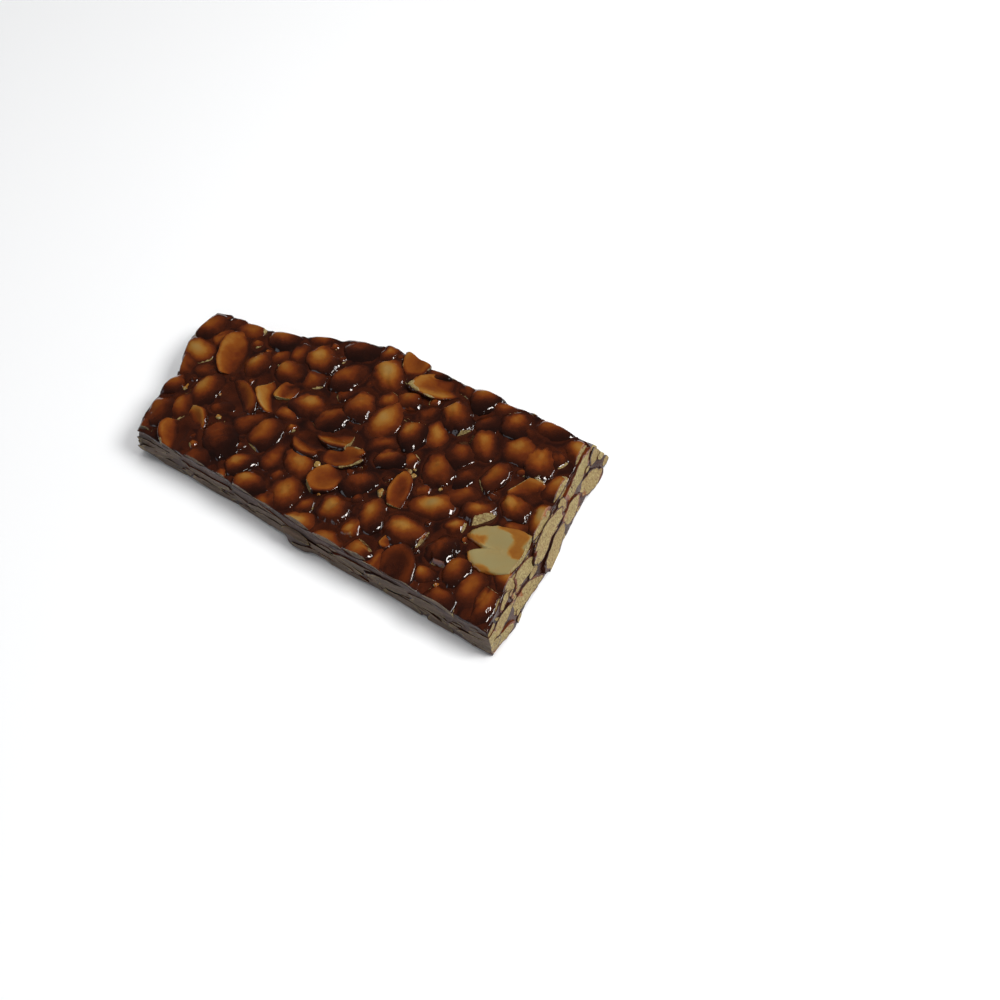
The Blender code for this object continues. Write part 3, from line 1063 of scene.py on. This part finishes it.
def make_side_nuts(name):
    chance = random.Random(len(name) + 20)
    points, normals, along = sides[name]
    shape = new_shape()
    for nut in lay_side_nuts(name, chance):
        row = round(nut.y / SYRUP_LEVEL * (len(SAMPLE_SHARES) - 1))
        first = row * (SAMPLES + 1)
        index = first + int(np.abs(along[first:first + SAMPLES + 1] - nut.x).argmin())
        normal = Vector(normals[index])
        tangent = Vector(points[min(index + 1, first + SAMPLES)] - points[max(index - 1, first)]).normalized()
        up = normal.cross(tangent)
        if up.z < 0:
            up.negate()
        axes = Matrix((tangent, up, tangent.cross(up))).transposed() @ Matrix.Rotation(nut.turn, 3, "Z")
        surface = Vector((points[index][0], points[index][1], nut.y))
        body = Body(surface - chance.uniform(0.1, 0.8) * normal, axes,
                    Vector((nut.length / 2, nut.width / 2, SIDE_DEPTH)), fullness=3.2,
                    taper=chance.uniform(0.1, 0.6), bend=chance.uniform(-0.4, 0.4),
                    lumpiness=0.13, fine_lumps=0.9, seed=chance.uniform(0, 100),
                    proud=0.0 if nut.length > 8 else chance.uniform(-0.5, 0.0))
        if name in BROKEN:
            body.middle -= 1.2 * normal
            body.fullness, body.lumpiness, body.fine_lumps = FULLNESS, 0.08, 0.3
        trim(body, chance)
        places, local, opened = grow(body)
        lies_on = carve(body, places)
        film = film_around_spot(local, chance.triangular(0.2, 0.8, 0.4), (0, 0)) if name in BROKEN else 1.1
        tone = chance.uniform(0.2, 0.8)
        add_nut(shape, body, places, number(body, lies_on, film=film, cut=0, smear=0, tone=tone))
    return as_piece(shape, name + "_side_nuts", nut_finish, 45)


side_pieces = [make_side_nuts(name) for name in SIDES]

# %% [markdown]
# ## Nuts of the underside
# Brittle is rolled out on a greased board, so its underside is flat and the nuts show through
# as smooth patches. They are laid like the top nuts and sliced by the ground.

# %% Underside nuts
UNDER_FILLING = ((13, 9, 0.9), (11, 7.5, 0.9), (9, 6, 0.88), (6, 4.5, 0.85))


def make_underside():
    chance = random.Random(5)
    laid = []
    shape = new_shape()
    for length, width, closeness in UNDER_FILLING:
        for _ in range(1200):
            x, y = inside(chance.uniform(0.02, 0.98), chance.uniform(0.03, 0.97))
            size = chance.uniform(0.85, 1.15)
            nut = Nut("under", x, y, length * size, width * size, chance.uniform(0, math.pi), 0)
            if not any(nut.touches(other, closeness) for other in laid):
                laid.append(nut)
    for nut in laid:
        body = Body(Vector((nut.x, nut.y, chance.uniform(0.1, 0.5))), lying(nut.turn),
                    Vector((nut.length / 2, nut.width / 2, 2.6)), seed=chance.uniform(0, 100), lumpiness=0.08)
        trim(body, chance, chance.triangular(0.15, 0.9, 0.4))
        places, local, opened = grow(body)
        lies_on = carve(body, places)
        tone = chance.uniform(0.35, 0.75)
        add_nut(shape, body, places, number(body, lies_on, film=1.3, cut=0, smear=0, tone=tone))
    return as_piece(shape, "underside_nuts", nut_finish, 45)


underside_nuts = make_underside()

# %% [markdown]
# ## Camera, floor and light
# A pale sweep and soft light suit glossy food. A window-sized light to the right models the
# nuts, and a second one, seen only in reflections, gives each a crisp highlight. A broad one
# overhead fills the top; a weak cool one reaches the long side, which stays in shade.

# %% Camera
AZIMUTH = math.radians(41.77)
ELEVATION = math.radians(53)
ROLL = math.radians(-8)
DISTANCE = 267.4
AIM = Vector((95.36, 30.94, 10.2))
FIELD_OF_VIEW = math.radians(48)


def add_camera():
    back = Vector((math.sin(AZIMUTH) * math.cos(ELEVATION), -math.cos(AZIMUTH) * math.cos(ELEVATION),
                   math.sin(ELEVATION)))
    data = bpy.data.cameras.new("camera")
    data.sensor_width = 36
    data.lens = data.sensor_width / 2 / math.tan(FIELD_OF_VIEW / 2)
    data.clip_start = 0.01
    camera = bpy.data.objects.new("camera", data)
    camera.location = (AIM - MIDDLE + DISTANCE * back) * MM
    turn = (-back).to_track_quat("-Z", "Y").to_matrix() @ Matrix.Rotation(ROLL, 3, "Z")
    camera.rotation_mode = "QUATERNION"
    camera.rotation_quaternion = turn.to_quaternion()
    bpy.context.scene.collection.objects.link(camera)
    bpy.context.scene.camera = camera
    print("camera at", [round(v, 3) for v in camera.location])


add_camera()

# %% Floor
def add_floor():
    mesh = bpy.data.meshes.new("floor")
    shape = bmesh.new()
    bmesh.ops.create_grid(shape, x_segments=1, y_segments=1, size=3.0)
    bmesh.ops.translate(shape, verts=shape.verts, vec=(0, 0, -0.0002))
    shape.to_mesh(mesh)
    shape.free()
    floor = bpy.data.objects.new("floor", mesh)
    bpy.context.scene.collection.objects.link(floor)
    material = bpy.data.materials.new("pale_sweep")
    material.use_nodes = True
    shader = material.node_tree.nodes["Principled BSDF"]
    shader.inputs["Base Color"].default_value = (0.95, 0.95, 0.95, 1)
    shader.inputs["Roughness"].default_value = 0.9
    shader.inputs["Specular IOR Level"].default_value = 0.1
    mesh.materials.append(material)


add_floor()

# %% Lights
def add_light(name, azimuth, elevation, distance, size, watts, colour=(1, 1, 1)):
    """A square area light that faces the slab. Azimuth 0 is towards -Y and 90 towards +X."""
    a, e = math.radians(azimuth), math.radians(elevation)
    place = Vector((math.sin(a) * math.cos(e), -math.cos(a) * math.cos(e), math.sin(e))) * distance
    data = bpy.data.lights.new(name, "AREA")
    data.shape = "RECTANGLE"
    data.size, data.size_y = size
    data.energy = watts
    data.color = colour
    light = bpy.data.objects.new(name, data)
    light.location = place
    light.rotation_mode = "QUATERNION"
    light.rotation_quaternion = (-place).to_track_quat("-Z", "Y")
    bpy.context.scene.collection.objects.link(light)
    return light


VIEW = math.degrees(AZIMUTH)
window = add_light("window", VIEW + 72, 44, 0.9, (0.36, 0.30), 6.8)
window.visible_glossy = False
glint = add_light("window glint", VIEW + 73, 43, 0.8, (0.26, 0.18), 4.2, (1.0, 0.95, 0.91))
glint.visible_diffuse = False
overhead = add_light("overhead", VIEW + 150, 72, 1.1, (1.2, 1.2), 8.2)
overhead.visible_glossy = False
sheen = add_light("sheen", VIEW + 96, 26, 1.0, (0.5, 0.12), 2.4)
sheen.visible_diffuse = False
add_light("sparkle", VIEW + 12, 34, 0.9, (0.1, 0.1), 0.6)
add_light("cool_fill", VIEW - 70, 20, 1.2, (0.8, 0.5), 1.6, (0.8, 0.88, 1.0))


def add_world():
    world = bpy.data.worlds.new("studio")
    bpy.context.scene.world = world
    world.use_nodes = True
    background = world.node_tree.nodes["Background"]
    background.inputs["Color"].default_value = (0.93, 0.96, 1.0, 1)
    background.inputs["Strength"].default_value = 0.05


add_world()
bpy.context.scene.view_settings.view_transform = "Standard"
